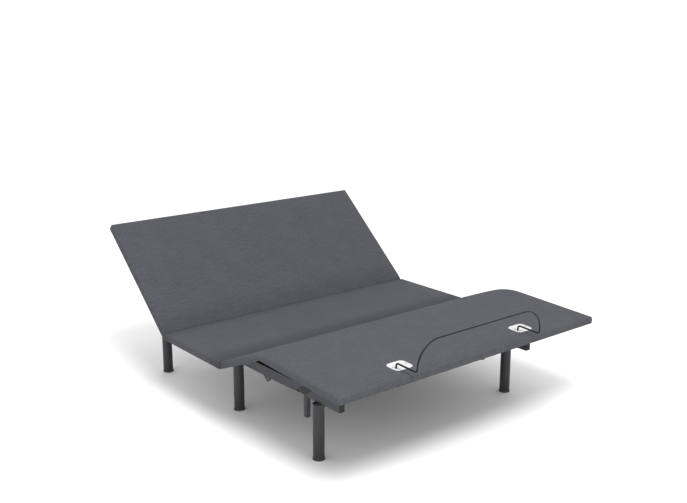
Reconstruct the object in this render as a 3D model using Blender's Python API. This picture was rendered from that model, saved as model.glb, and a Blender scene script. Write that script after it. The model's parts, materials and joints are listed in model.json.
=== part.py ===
"""Folding adjustable bed base: two upholstered deck halves on a steel chassis with six screw-in legs.

The head half carries the seat and head panels, the foot half the thigh and foot panels. Each half has a lift frame
with rollers, pushed by a linear drive. Everything is laid out flat with y = 0 on the thigh hinge, +Y to the head,
then turned to the raised rest pose by empties that stand on the joint axes. Lengths are metres, angles degrees.
"""

from math import asin, cos, degrees, hypot, radians, sin, tan

import bmesh
import bpy
from mathutils import Matrix, Vector

# Deck: four upholstered panels
DECK_WIDTH = 1.511
DECK_TOP = 0.330
PANEL_THICK = 0.032
BOARD_THICK = 0.012
BOARD_BORDER = 0.022
HEAD_RUN = 0.680
SEAT_RUN = 0.494
THIGH_RUN = 0.330
FOOT_RUN = 0.521
PAD_EDGE = 0.007
PAD_FOOT_EDGE = 0.003

# Rest pose, and the largest raise that the panel ends are cut back for
HEAD_ANGLE = 41.2
HEAD_MAX = 58.0
THIGH_ANGLE = 23.0
THIGH_MAX = 36.0
FOOT_SLOPE = 2.65
HINGE_RISE = 0.007
KNEE_DROP = 0.005

# Chassis
RAIL_X = 0.566
RAIL_WIDTH = 0.026
RAIL_HEIGHT = 0.044
TUBE_WALL = 0.002
RAIL_CLEAR = 0.001
HEAD_RAIL_END = 0.834
FOOT_RAIL_END = -0.608
CROSS_WIDTH = 0.030
CROSS_HEIGHT = 0.038
CAP_THICK = 0.003
FOLD_Y = 0.125
FOLD_DROP = 0.006
FOLD_GAP = 0.004
FOLD_EYE_RADIUS = 0.010
FOLD_PLATE_THICK = 0.004
FOLD_PLATE_REACH = 0.066
FOLD_PLATE_LIFT = 0.004
FOLD_PIN_RADIUS = 0.005
HEAD_TUBE_INSET = 0.026
FOOT_FOLD_TUBE_Y = 0.040
GAP = 0.0004

# Legs: distance along the base and half spread across it
LEG_RADIUS = 0.0245
LEG_NECK_RADIUS = 0.018
LEG_NECK = 0.004
LEG_STATIONS = {"head": (0.808, 0.571), "middle": (0.168, 0.551), "foot": (-0.469, 0.575)}
FOOT_RADIUS = 0.0275
FOOT_HEIGHT = 0.010

# Lift frames
HEAD_LIFT_Y = 0.498
FOOT_LIFT_Y = -0.346
LIFT_Z = 0.268
LIFT_TUBE_RADIUS = 0.015
STUB_RADIUS = 0.007
HEAD_ARM = 0.260
FOOT_ARM = 0.260
HEAD_ARM_X = 0.350
FOOT_ARM_X = 0.541
ARM_WIDTH = 0.020
ARM_HEIGHT = 0.024
ROLLER_RADIUS = 0.022
ROLLER_WIDTH = 0.016
ROLLER_SIDE_GAP = 0.0015
AXLE_RADIUS = 0.004
HEAD_ROLLER_CLEAR = 0.0040
FOOT_ROLLER_CLEAR = 0.0009
POST_DROP = 0.131
NOTCH_SPARE = 0.00268
NOTCH_LENGTH = 0.069
NOTCH_SLANT = 0.068

# Drives: a rod whose cross pin slides in the slotted crank of the lift frame
CRANK_DROP = 0.070
CRANK_THICK = 0.008
CRANK_WIDTH = 0.036
SLOT_SPARE = 0.0022
PIN_RADIUS = 0.005
ROD_RADIUS = 0.009
DRIVE_RADIUS = 0.017
DRIVE_LENGTH = 0.130
MOTOR_LENGTH = 0.110
MOTOR_RADIUS = 0.028
MOTOR_DROP = 0.043
GEAR_LENGTH = 0.050
HANGER_WIDTH = 0.026
FORK_HEIGHT = 0.020
FORK_TIP = 0.012
FORK_DEPTH = 0.030
FORK_BACK = 0.012
HEAD_LIFT_RATIO = 0.947
FOOT_LIFT_RATIO = 1.205
ROD_HIDDEN = 0.020

# Mattress retainer bar and its plates, on the foot panel
BAR_RADIUS = 0.004
BAR_HALF = 0.362
BAR_SHIFT = -0.041
BAR_HEIGHT = 0.121
BAR_CORNER = 0.106
BAR_RISE = 0.026
BAR_BEND = 0.012
BAR_OVERHANG = 0.036
HOOK_INSET = 0.083
HOOK_DEPTH = 0.010
HOOK_HOLE_RADIUS = 0.0055
PLATE_LENGTH = 0.094
PLATE_DEPTH = 0.078
PLATE_THICK = 0.003
PLATE_CORNER = 0.021
PLATE_SHIFT = -0.010
PLATE_INSET = 0.097

# Small fittings
BOX_SIZE = (0.200, 0.130, 0.040)
BOX_X = 0.300
BOX_Y = 0.390
LUG_Y = -0.108
LUG_DROP = 0.022
LUG_HALF = 0.036
LUG_THICK = 0.003
LUG_HOLE_RADIUS = 0.005
LEAF_THICK = 0.002
LEAF_REACH = 0.035
LEAF_HALF = 0.300
BARREL_RADIUS = 0.0036

DECK_UNDER = DECK_TOP - PANEL_THICK
RAIL_TOP = DECK_UNDER - RAIL_CLEAR
RAIL_BOTTOM = RAIL_TOP - RAIL_HEIGHT
RAIL_MIDDLE = RAIL_TOP - RAIL_HEIGHT / 2
RAIL_INNER = RAIL_X - RAIL_WIDTH / 2
NOTCH_EDGE = (STUB_RADIUS + NOTCH_SPARE) * hypot(NOTCH_SLANT, RAIL_HEIGHT)
NOTCH_START = FOOT_LIFT_Y + (NOTCH_EDGE - NOTCH_SLANT * (RAIL_MIDDLE - LIFT_Z)) / RAIL_HEIGHT
HINGE_Z = DECK_UNDER + HINGE_RISE
HEAD_HINGE = Vector((0, SEAT_RUN, HINGE_Z))
THIGH_HINGE = Vector((0, 0, HINGE_Z))
KNEE_OFFSET = Vector((0, -THIGH_RUN, -HINGE_RISE - KNEE_DROP))
FOLD_AXIS = Vector((0, FOLD_Y, RAIL_BOTTOM - FOLD_DROP))
KNEE_RATIO = (THIGH_ANGLE + FOOT_SLOPE) / THIGH_ANGLE

FABRIC = ("upholstery", (0.105, 0.108, 0.122), 0.90, 0.0)
BOARD = ("deck board", (0.030, 0.030, 0.032), 0.80, 0.0)
STEEL = ("powder coated steel", (0.062, 0.063, 0.070), 0.50, 0.35)
BLACK = ("black plastic", (0.012, 0.012, 0.013), 0.50, 0.0)
WHITE = ("white plastic", (0.720, 0.720, 0.730), 0.40, 0.0)
ROD_BLACK = ("black rod", (0.014, 0.014, 0.014), 0.40, 0.30)
BRIGHT = ("bright steel", (0.550, 0.560, 0.570), 0.30, 1.0)
GREY = ("grey nylon", (0.300, 0.300, 0.310), 0.50, 0.0)

SIDES = {"left": -1, "right": 1}


def clear_scene():
    for old in list(bpy.data.objects):
        bpy.data.objects.remove(old, do_unlink=True)


def material(spec):
    name, colour, roughness, metallic = spec
    found = bpy.data.materials.get(name)
    if found:
        return found
    made = bpy.data.materials.new(name)
    made.use_nodes = True
    shader = made.node_tree.nodes["Principled BSDF"]
    shader.inputs["Base Color"].default_value = (*colour, 1.0)
    shader.inputs["Roughness"].default_value = roughness
    shader.inputs["Metallic"].default_value = metallic
    made.diffuse_color = (*colour, 1.0)
    return made


def joint_empty(name, parent, location, turn_x=0.0):
    empty = bpy.data.objects.new(name, None)
    bpy.context.collection.objects.link(empty)
    empty.parent = parent
    empty.location = location
    empty.rotation_euler = (radians(turn_x), 0, 0)
    return empty


def finish(name, bm, spec, parent, smooth_angle=35.0):
    """Turns a bmesh into an object under its joint's empty, with faces pointing out."""
    bmesh.ops.recalc_face_normals(bm, faces=bm.faces)
    mesh = bpy.data.meshes.new(name)
    bm.to_mesh(mesh)
    bm.free()
    mesh.shade_smooth()
    mesh.set_sharp_from_angle(angle=radians(smooth_angle))
    mesh.materials.append(material(spec))
    made = bpy.data.objects.new(name, mesh)
    bpy.context.collection.objects.link(made)
    made.parent = parent
    return made


def add_box(bm, low, high):
    low, high = Vector(low), Vector(high)
    place = Matrix.Translation((low + high) / 2) @ Matrix.Diagonal((*(high - low), 1))
    return bmesh.ops.create_cube(bm, size=1, matrix=place)["verts"]


def add_cylinder(bm, start, end, radius, sides=24, end_radius=None):
    start, end = Vector(start), Vector(end)
    run = end - start
    turn = run.to_track_quat("Z", "Y").to_matrix().to_4x4()
    place = Matrix.Translation((start + end) / 2) @ turn
    top = radius if end_radius is None else end_radius
    size = {"radius1": radius, "radius2": top, "depth": run.length}
    bmesh.ops.create_cone(bm, cap_ends=True, segments=sides, matrix=place, **size)


def add_prism(bm, outline, x_low, x_high):
    """Extrudes a closed (y, z) outline along X."""
    ring = [bm.verts.new((x_low, y, z)) for y, z in outline]
    face = bm.faces.new(ring)
    moved = bmesh.ops.extrude_face_region(bm, geom=[face])["geom"]
    rising = [v for v in moved if isinstance(v, bmesh.types.BMVert)]
    bmesh.ops.translate(bm, verts=rising, vec=(x_high - x_low, 0, 0))


def bevel_edges(bm, edges, offset, segments):
    shape = {"affect": "EDGES", "profile": 0.5, "material": -1}
    bmesh.ops.bevel(bm, geom=edges, offset=offset, segments=segments, **shape)


def boolean(target, cutter_bm, operation):
    """Cuts or joins a helper solid into the target and bakes the result into its mesh."""
    bmesh.ops.recalc_face_normals(cutter_bm, faces=cutter_bm.faces)
    helper_mesh = bpy.data.meshes.new("helper")
    cutter_bm.to_mesh(helper_mesh)
    cutter_bm.free()
    helper = bpy.data.objects.new("helper", helper_mesh)
    bpy.context.collection.objects.link(helper)
    helper.parent = target.parent
    step = target.modifiers.new("shape", "BOOLEAN")
    step.operation = operation
    step.object = helper
    bpy.context.view_layer.update()
    view = target.evaluated_get(bpy.context.evaluated_depsgraph_get())
    baked = bpy.data.meshes.new_from_object(view)
    target.modifiers.clear()
    old, target.data = target.data, baked
    bpy.data.meshes.remove(old)
    bpy.data.objects.remove(helper, do_unlink=True)


# Deck panels


def end_cut(height, angle):
    """How far a panel end is cut back at a height above its hinge, so it never meets its neighbour."""
    return GAP + max(height, 0) * tan(radians(angle) / 2)


def panel_outline(near, far, near_angle, far_angle, hinge_rise):
    """The (y, z) side view of a pad from its near end to its far end, with z = 0 on its underside."""
    above = PANEL_THICK - hinge_rise
    return [
        (near + GAP, 0),
        (far - GAP, 0),
        (far - GAP, hinge_rise),
        (far - end_cut(above, far_angle), PANEL_THICK),
        (near + end_cut(above, near_angle), PANEL_THICK),
        (near + GAP, hinge_rise),
    ]


def add_panel(name, parent, near, far, base, near_angle=0.0, far_angle=0.0):
    """Makes one upholstered pad and the board let into its underside. Base is the underside's height."""
    outline = panel_outline(near, far, near_angle, far_angle, HINGE_RISE)
    bm = bmesh.new()
    add_prism(bm, [(y, z + base) for y, z in outline], -DECK_WIDTH / 2, DECK_WIDTH / 2)
    top = base + PANEL_THICK
    upper = [e for e in bm.edges if all(v.co.z > top - 1e-5 for v in e.verts)]
    lower = [e for e in bm.edges if all(v.co.z < base + 1e-5 for v in e.verts)]
    bevel_edges(bm, upper, PAD_EDGE, 3)
    bevel_edges(bm, lower, PAD_FOOT_EDGE, 1)
    bmesh.ops.recalc_face_normals(bm, faces=bm.faces)
    floor = [f for f in bm.faces if f.normal.z < -0.99 and f.calc_center_median().z < base + 1e-5]
    inset = BOARD_BORDER - PAD_FOOT_EDGE - GAP
    bmesh.ops.inset_region(bm, faces=floor, thickness=inset, use_even_offset=True)
    pushed = bmesh.ops.extrude_face_region(bm, geom=floor)["geom"]
    bmesh.ops.delete(bm, geom=floor, context="FACES_ONLY")
    raised = [v for v in pushed if isinstance(v, bmesh.types.BMVert)]
    bmesh.ops.translate(bm, verts=raised, vec=(0, 0, BOARD_THICK + GAP))
    pad = finish(f"{name}_pad", bm, FABRIC, parent)
    bm = bmesh.new()
    half = DECK_WIDTH / 2 - BOARD_BORDER - GAP
    reach = BOARD_BORDER + 2 * GAP
    add_box(bm, (-half, near + reach, base), (half, far - reach, base + BOARD_THICK))
    finish(f"{name}_board", bm, BOARD, parent)
    return pad


# Chassis pieces


def add_rect_tube(bm, axis, start, end, width, height, centre, cut_start=0.0, cut_end=0.0):
    """Hollow rectangular tube along X or Y. Each cut is how much further that end's top reaches along it."""
    rings = []
    for inset in (0.0, TUBE_WALL):
        w, h = width / 2 - inset, height / 2 - inset
        for side, slant in ((start, cut_start), (end, cut_end)):
            ring = []
            for across, up in ((-w, -h), (w, -h), (w, h), (-w, h)):
                along = side + slant * (up / height)
                if axis == "Y":
                    spot = (centre[0] + across, along, centre[2] + up)
                else:
                    spot = (along, centre[1] + across, centre[2] + up)
                ring.append(bm.verts.new(spot))
            rings.append(ring)
    outer_start, outer_end, inner_start, inner_end = rings
    walls = ((outer_start, outer_end), (inner_start, inner_end), (outer_start, inner_start), (outer_end, inner_end))
    for one, two in walls:
        for i in range(4):
            j = (i + 1) % 4
            bm.faces.new((one[i], one[j], two[j], two[i]))


def add_rail(name, parent, x, start, end, cut_start=0.0, cut_end=0.0):
    bm = bmesh.new()
    centre = (x, 0, RAIL_MIDDLE)
    add_rect_tube(bm, "Y", start, end, RAIL_WIDTH, RAIL_HEIGHT, centre, cut_start, cut_end)
    return finish(name, bm, STEEL, parent)


def rail_plug(x, y, outward):
    """Solid that fills the last stretch of a rail's inside, a clearance smaller than the tube's bore."""
    inner = TUBE_WALL + GAP
    w, h = RAIL_WIDTH / 2 - inner, RAIL_HEIGHT / 2 - inner
    near, far = sorted((y + outward * 2 * GAP, y - outward * RAIL_WIDTH / 2))
    plug = bmesh.new()
    add_box(plug, (x - w, near, RAIL_MIDDLE - h), (x + w, far, RAIL_MIDDLE + h))
    return plug


def add_rail_cap(name, parent, x, y, outward):
    """Plastic plug in a rail's open end, with a flange that covers the tube's edge."""
    bm = bmesh.new()
    w, h = RAIL_WIDTH / 2, RAIL_HEIGHT / 2
    near, far = sorted((y + outward * GAP, y + outward * (CAP_THICK + GAP)))
    add_box(bm, (x - w, near, RAIL_MIDDLE - h), (x + w, far, RAIL_MIDDLE + h))
    cap = finish(name, bm, BLACK, parent)
    boolean(cap, rail_plug(x, y, outward), "UNION")


def close_rail_end(rail, x, y, outward):
    """Welds an end plate across a rail's open end."""
    plate = bmesh.new()
    w, h = (RAIL_WIDTH - TUBE_WALL) / 2, (RAIL_HEIGHT - TUBE_WALL) / 2
    near, far = sorted((y - outward * TUBE_WALL / 2, y - outward * (TUBE_WALL / 2 + CAP_THICK)))
    add_box(plate, (x - w, near, RAIL_MIDDLE - h), (x + w, far, RAIL_MIDDLE + h))
    boolean(rail, plate, "UNION")


def add_cross_tube(name, parent, y, inset=0.0):
    bm = bmesh.new()
    reach = RAIL_INNER - GAP - inset
    centre = (0, y, RAIL_TOP - CROSS_HEIGHT / 2)
    add_rect_tube(bm, "X", -reach, reach, CROSS_WIDTH, CROSS_HEIGHT, centre)
    finish(name, bm, STEEL, parent)


def fold_outline(direction):
    """Side view of a fold plate: an eye round the fold pin, with its plate above the rail's underside."""
    eye, top = FOLD_EYE_RADIUS, RAIL_TOP - 0.006
    low = RAIL_BOTTOM + FOLD_PLATE_LIFT
    angles = [radians(t) for t in range(180, 361, 30)]
    outline = [(FOLD_Y + direction * eye * cos(a), FOLD_AXIS.z + eye * sin(a)) for a in angles]
    outline += [(FOLD_Y + direction * eye, low), (FOLD_Y + direction * FOLD_PLATE_REACH, low)]
    outline += [(FOLD_Y + direction * FOLD_PLATE_REACH, top), (FOLD_Y - direction * eye, top)]
    return outline


def add_fold_plate_head(name, parent, side):
    """Plate on the head rail's inner face, with the fold pin through its eye."""
    low, high = sorted((side * (RAIL_INNER - GAP), side * (RAIL_INNER - GAP - FOLD_PLATE_THICK)))
    bm = bmesh.new()
    add_prism(bm, fold_outline(1), low, high)
    plate = finish(name, bm, STEEL, parent)
    pin = bmesh.new()
    outer, inner = side * RAIL_X, side * (RAIL_INNER - 3 * FOLD_PLATE_THICK)
    add_cylinder(pin, (outer, *FOLD_AXIS.yz), (inner, *FOLD_AXIS.yz), FOLD_PIN_RADIUS, 16)
    boolean(plate, pin, "UNION")


def add_fold_plate_foot(name, parent, side):
    """Plate that turns on the fold pin beside the head plate, packed out from the foot rail's inner face."""
    face = RAIL_INNER - GAP
    outer = face - FOLD_PLATE_THICK - GAP
    low, high = sorted((side * outer, side * (outer - FOLD_PLATE_THICK)))
    bm = bmesh.new()
    add_prism(bm, fold_outline(-1), low, high)
    plate = finish(name, bm, STEEL, parent)
    packer = bmesh.new()
    pack_low, pack_high = sorted((side * face, side * (outer - FOLD_PLATE_THICK / 2)))
    start, end = FOLD_Y - FOLD_PLATE_REACH + 0.002, FOLD_Y - 2 * FOLD_EYE_RADIUS
    bottom, top = RAIL_BOTTOM + 2 * FOLD_PLATE_LIFT, RAIL_TOP - 0.010
    add_box(packer, (pack_low, start, bottom), (pack_high, end, top))
    boolean(plate, packer, "UNION")
    hole = bmesh.new()
    start, end = (low - 0.01, FOLD_AXIS.y, FOLD_AXIS.z), (high + 0.01, FOLD_AXIS.y, FOLD_AXIS.z)
    add_cylinder(hole, start, end, FOLD_PIN_RADIUS + GAP, 16)
    boolean(plate, hole, "DIFFERENCE")


def add_leg(name, parent, x, y):
    """Round tube leg with a screw neck, and the flared plastic foot that it stands on."""
    top = RAIL_BOTTOM - GAP
    shoulder = top - LEG_NECK
    bm = bmesh.new()
    add_cylinder(bm, (x, y, FOOT_HEIGHT + GAP), (x, y, shoulder), LEG_RADIUS, 32)
    leg = finish(name, bm, STEEL, parent)
    neck = bmesh.new()
    add_cylinder(neck, (x, y, shoulder - LEG_NECK), (x, y, top), LEG_NECK_RADIUS, 24)
    boolean(leg, neck, "UNION")
    bm = bmesh.new()
    add_cylinder(bm, (x, y, 0), (x, y, FOOT_HEIGHT), FOOT_RADIUS, 32, LEG_RADIUS + 0.0005)
    rim = [e for e in bm.edges if all(v.co.z < 1e-6 for v in e.verts)]
    bevel_edges(bm, rim, 0.0015, 2)
    finish(f"{name}_foot", bm, BLACK, parent)


def weld_lug(rail, side):
    """Welds a triangular tie-down lug with a hole under a foot rail, along its outer face."""
    plate = bmesh.new()
    outer = side * (RAIL_X + RAIL_WIDTH / 2 - 0.0005)
    low, high = sorted((outer, outer - side * LUG_THICK))
    outline = [
        (LUG_Y + LUG_HALF, RAIL_BOTTOM + 1.5 * TUBE_WALL),
        (LUG_Y + 0.004, RAIL_BOTTOM - LUG_DROP),
        (LUG_Y - 0.004, RAIL_BOTTOM - LUG_DROP),
        (LUG_Y - LUG_HALF, RAIL_BOTTOM + 1.5 * TUBE_WALL),
    ]
    add_prism(plate, outline, low, high)
    boolean(rail, plate, "UNION")
    hole = bmesh.new()
    centre = Vector((0, LUG_Y, RAIL_BOTTOM - 2 * LUG_HOLE_RADIUS))
    reach = Vector((LUG_THICK, 0, 0))
    start, end = centre + Vector((low, 0, 0)) - reach, centre + Vector((high, 0, 0)) + reach
    add_cylinder(hole, start, end, LUG_HOLE_RADIUS, 16)
    boolean(rail, hole, "DIFFERENCE")


def add_pivot_block(name, parent, side):
    """Black block that joins the rail across its notch and carries the lift frame's stub."""
    bm = bmesh.new()
    x = side * RAIL_X
    w, h = RAIL_WIDTH / 2 - TUBE_WALL - GAP, RAIL_HEIGHT / 2 - TUBE_WALL - GAP
    near, far = NOTCH_START + NOTCH_SLANT, NOTCH_START - NOTCH_LENGTH - NOTCH_SLANT
    add_box(bm, (x - w, far, RAIL_MIDDLE - h), (x + w, near, RAIL_MIDDLE + h))
    block = finish(name, bm, BLACK, parent)
    bore = bmesh.new()
    start, end = (x - RAIL_WIDTH, FOOT_LIFT_Y, LIFT_Z), (x + RAIL_WIDTH, FOOT_LIFT_Y, LIFT_Z)
    add_cylinder(bore, start, end, STUB_RADIUS + GAP, 24)
    boolean(block, bore, "DIFFERENCE")


# Lift frames, laid out with the arm level and the joint empty on the tube's axis


def crank_outline(slot_low, slot_high):
    half, tip = CRANK_WIDTH / 2, slot_high + CRANK_WIDTH / 4
    end = half * 0.7
    return [(-half, 0), (half, 0), (half, -slot_low), (end, -tip), (-end, -tip), (-half, -slot_low)]


def add_lift_tube(name, parent, crank_angle, swing):
    """Cross tube with reduced stubs at its ends and the slotted crank plate at its middle."""
    reach = RAIL_INNER - GAP
    bm = bmesh.new()
    add_cylinder(bm, (-reach, 0, 0), (reach, 0, 0), LIFT_TUBE_RADIUS, 24)
    tube = finish(name, bm, STEEL, parent)
    stubs = bmesh.new()
    stub_end = RAIL_X + RAIL_WIDTH / 2 - TUBE_WALL
    add_cylinder(stubs, (-stub_end, 0, 0), (stub_end, 0, 0), STUB_RADIUS, 24)
    boolean(tube, stubs, "UNION")
    slot_low = CRANK_DROP - PIN_RADIUS - SLOT_SPARE
    slot_high = CRANK_DROP / cos(radians(swing)) + PIN_RADIUS + SLOT_SPARE
    plate = bmesh.new()
    add_prism(plate, crank_outline(slot_low, slot_high), -CRANK_THICK / 2, CRANK_THICK / 2)
    turn = Matrix.Rotation(radians(crank_angle), 4, "X")
    bmesh.ops.transform(plate, matrix=turn, verts=plate.verts)
    boolean(tube, plate, "UNION")
    slot = bmesh.new()
    half = PIN_RADIUS + SLOT_SPARE
    add_box(slot, (-CRANK_THICK, -half, -slot_high), (CRANK_THICK, half, -slot_low))
    bmesh.ops.transform(slot, matrix=turn, verts=slot.verts)
    boolean(tube, slot, "DIFFERENCE")


def add_arm(name, parent, side, x, length, direction, post_angle=None):
    """Arm from the lift tube to its roller. A post angle adds the square post that hangs from the tube."""
    low, high = x * side - ARM_WIDTH / 2, x * side + ARM_WIDTH / 2
    fork = ROLLER_RADIUS + 0.006
    bm = bmesh.new()
    near, far = sorted((-direction * ARM_HEIGHT / 2, direction * (length - fork)))
    add_box(bm, (low, near, -ARM_HEIGHT / 2), (high, far, ARM_HEIGHT / 2))
    arm = finish(name, bm, STEEL, parent)
    cheek = (ARM_WIDTH - ROLLER_WIDTH) / 2 - ROLLER_SIDE_GAP / 2
    near, far = sorted((direction * (length - fork - 0.010), direction * (length + 0.008)))
    for start in (low, high - cheek):
        plate = bmesh.new()
        add_box(plate, (start, near, -0.009), (start + cheek, far, 0.009))
        boolean(arm, plate, "UNION")
    axle = bmesh.new()
    tip_y = direction * length
    add_cylinder(axle, (low + 0.0005, tip_y, 0), (high - 0.0005, tip_y, 0), AXLE_RADIUS, 16)
    boolean(arm, axle, "UNION")
    if post_angle is not None:
        post = bmesh.new()
        half = ARM_WIDTH / 2
        add_box(post, (low, -half, -POST_DROP), (high, half, 0))
        bmesh.ops.transform(post, matrix=Matrix.Rotation(radians(post_angle), 4, "X"), verts=post.verts)
        boolean(arm, post, "UNION")
    collar = bmesh.new()
    add_cylinder(collar, (low, 0, 0), (high, 0, 0), LIFT_TUBE_RADIUS + 0.006, 24)
    boolean(arm, collar, "UNION")
    bore = bmesh.new()
    add_cylinder(bore, (low - 0.01, 0, 0), (high + 0.01, 0, 0), LIFT_TUBE_RADIUS + GAP, 24)
    boolean(arm, bore, "DIFFERENCE")


def add_roller(name, parent, x):
    bm = bmesh.new()
    half = ROLLER_WIDTH / 2 - ROLLER_SIDE_GAP
    add_cylinder(bm, (x - half, 0, 0), (x + half, 0, 0), ROLLER_RADIUS, 32)
    rims = [e for e in bm.edges if abs(e.verts[0].co.x - e.verts[1].co.x) < 1e-6]
    bevel_edges(bm, rims, 0.0015, 1)
    roller = finish(name, bm, GREY, parent)
    bore = bmesh.new()
    add_cylinder(bore, (x - ROLLER_WIDTH, 0, 0), (x + ROLLER_WIDTH, 0, 0), AXLE_RADIUS + GAP, 16)
    boolean(roller, bore, "DIFFERENCE")


# Linear drives


def drive_back(y_mouth, direction):
    return y_mouth - direction * DRIVE_LENGTH


def drive_mount(y_mouth, direction):
    """Where the cross tube stands that a drive hangs from: over the middle of its gear housing."""
    return drive_back(y_mouth, direction) - direction * GEAR_LENGTH / 2


def add_drive(name, parent, y_mouth, direction):
    """Motor housing and guide tube, hung from a cross tube. Direction is the way the rod comes out."""
    z = LIFT_Z - CRANK_DROP
    back = drive_back(y_mouth, direction)
    bm = bmesh.new()
    add_cylinder(bm, (0, back, z), (0, y_mouth, z), DRIVE_RADIUS, 24)
    housing = finish(name, bm, BLACK, parent)
    gear = bmesh.new()
    near, far = sorted((back - direction * GEAR_LENGTH, back + direction * 0.012))
    floor, roof = z - MOTOR_DROP - MOTOR_RADIUS, z + DRIVE_RADIUS + 0.006
    add_box(gear, (-MOTOR_RADIUS, near, floor), (MOTOR_RADIUS, far, roof))
    upright = [e for e in gear.edges if abs(e.verts[0].co.z - e.verts[1].co.z) > MOTOR_RADIUS]
    bevel_edges(gear, upright, 0.006, 2)
    boolean(housing, gear, "UNION")
    motor = bmesh.new()
    start = Vector((0, back + direction * 0.003, z - MOTOR_DROP))
    add_cylinder(motor, start, start + Vector((0, direction * MOTOR_LENGTH, 0)), MOTOR_RADIUS - 0.004, 24)
    boolean(housing, motor, "UNION")
    hanger = bmesh.new()
    mount_y = drive_mount(y_mouth, direction)
    half, ceiling = HANGER_WIDTH / 2, RAIL_TOP - CROSS_HEIGHT - GAP
    add_box(hanger, (-half, mount_y - CROSS_WIDTH / 2, z), (half, mount_y + CROSS_WIDTH / 2, ceiling))
    boolean(housing, hanger, "UNION")
    bore = bmesh.new()
    start, end = (0, back + direction * 0.020, z), (0, y_mouth + direction * 0.020, z)
    add_cylinder(bore, start, end, ROD_RADIUS + GAP, 24)
    boolean(housing, bore, "DIFFERENCE")


def add_rod(name, parent, length, direction):
    """Drive rod with its forked end and cross pin. The parent empty stands on the pin at rest."""
    bm = bmesh.new()
    neck = -direction * (FORK_DEPTH + FORK_BACK / 2)
    add_cylinder(bm, (0, neck, 0), (0, -direction * length, 0), ROD_RADIUS, 20)
    rod = finish(name, bm, BRIGHT, parent)
    fork = bmesh.new()
    half = CRANK_THICK / 2 + 0.009
    near, far = sorted((direction * FORK_TIP, -direction * (FORK_DEPTH + FORK_BACK)))
    add_box(fork, (-half, near, -FORK_HEIGHT / 2), (half, far, FORK_HEIGHT / 2))
    boolean(rod, fork, "UNION")
    throat = bmesh.new()
    gap = CRANK_THICK / 2 + 0.0015
    near, far = sorted((direction * 2 * FORK_TIP, -direction * FORK_DEPTH))
    add_box(throat, (-gap, near, -FORK_HEIGHT), (gap, far, FORK_HEIGHT))
    boolean(rod, throat, "DIFFERENCE")
    pin = bmesh.new()
    add_cylinder(pin, (-half - 0.003, 0, 0), (half + 0.003, 0, 0), PIN_RADIUS, 20)
    boolean(rod, pin, "UNION")


# Retainer bar and plates, in the foot panel's flat frame


def bar_route(top):
    """The bar's centreline from the left hook's end to the right's. Top is the pad's top surface."""
    edge = -FOOT_RUN
    hook_y, loop_y = edge + HOOK_INSET, edge - BAR_OVERHANG
    level = top + BAR_RISE
    left, right = BAR_SHIFT - BAR_HALF, BAR_SHIFT + BAR_HALF
    bend = BAR_BEND
    arc = [radians(t) for t in (15, 30, 45, 60, 75)]
    half_side = [Vector((left, hook_y, top - HOOK_DEPTH)), Vector((left, hook_y, level - bend))]
    half_side += [Vector((left, hook_y - bend + bend * cos(a), level - bend + bend * sin(a))) for a in arc]
    half_side += [Vector((left, hook_y - bend, level)), Vector((left, loop_y + bend, level))]
    half_side += [Vector((left, loop_y + bend - bend * sin(a), level + bend - bend * cos(a))) for a in arc]
    half_side += [Vector((left, loop_y, level + bend))]
    rise = level + BAR_HEIGHT
    turn = BAR_CORNER
    steps = [radians(9 * i) for i in range(0, 11)]
    half_side += [Vector((left + turn - turn * cos(a), loop_y, rise - turn + turn * sin(a))) for a in steps]
    mirrored = [Vector((left + right - p.x, p.y, p.z)) for p in reversed(half_side)]
    return half_side + mirrored


def add_bar(name, parent, top):
    curve = bpy.data.curves.new(name, "CURVE")
    curve.dimensions = "3D"
    curve.bevel_depth = BAR_RADIUS
    curve.bevel_resolution = 2
    curve.use_fill_caps = True
    route = bar_route(top)
    spline = curve.splines.new("POLY")
    spline.points.add(len(route) - 1)
    for point, spot in zip(spline.points, route):
        point.co = (*spot, 1)
    curve.materials.append(material(ROD_BLACK))
    bar = bpy.data.objects.new(name, curve)
    bpy.context.collection.objects.link(bar)
    bar.parent = parent


def plate_spot(side, top):
    return Vector((PLATE_SHIFT + side * BAR_HALF, -FOOT_RUN + PLATE_INSET, top + GAP))


def hook_hole(side, top, below, above):
    spot = Vector((BAR_SHIFT + side * BAR_HALF, -FOOT_RUN + HOOK_INSET, top))
    cutter = bmesh.new()
    add_cylinder(cutter, spot - Vector((0, 0, below)), spot + Vector((0, 0, above)), HOOK_HOLE_RADIUS, 16)
    return cutter


def add_plate(name, parent, side, top):
    """White eight-sided plate with rounded corners, with the hook's hole towards its left end."""
    spot = plate_spot(side, top)
    bm = bmesh.new()
    corner = Vector((PLATE_LENGTH / 2, PLATE_DEPTH / 2, 0))
    add_box(bm, spot - corner, spot + corner + Vector((0, 0, PLATE_THICK)))
    upright = [e for e in bm.edges if abs(e.verts[0].co.z - e.verts[1].co.z) > PLATE_THICK / 2]
    bevel_edges(bm, upright, PLATE_CORNER, 3)
    rim = [e for e in bm.edges if all(v.co.z > spot.z + PLATE_THICK - 1e-6 for v in e.verts)]
    bevel_edges(bm, rim, 0.001, 1)
    plate = finish(name, bm, WHITE, parent)
    boolean(plate, hook_hole(side, top, 0.002, 0.010), "DIFFERENCE")


# Knee hinge


def add_knee_leaf(panel, label, y, base, sign, low, high):
    """One leaf of the knee's long butt hinge, with its share of the barrel."""
    bm = bmesh.new()
    add_cylinder(bm, (low, y, base), (high, y, base), BARREL_RADIUS, 16)
    leaf = finish(f"knee_leaf_{label}", bm, STEEL, panel)
    flap = bmesh.new()
    span = sorted((y, y + sign * LEAF_REACH))
    under = base + KNEE_DROP - GAP
    add_box(flap, (low, span[0], under - LEAF_THICK), (high, span[1], under))
    boolean(leaf, flap, "UNION")


# Assembly


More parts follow.
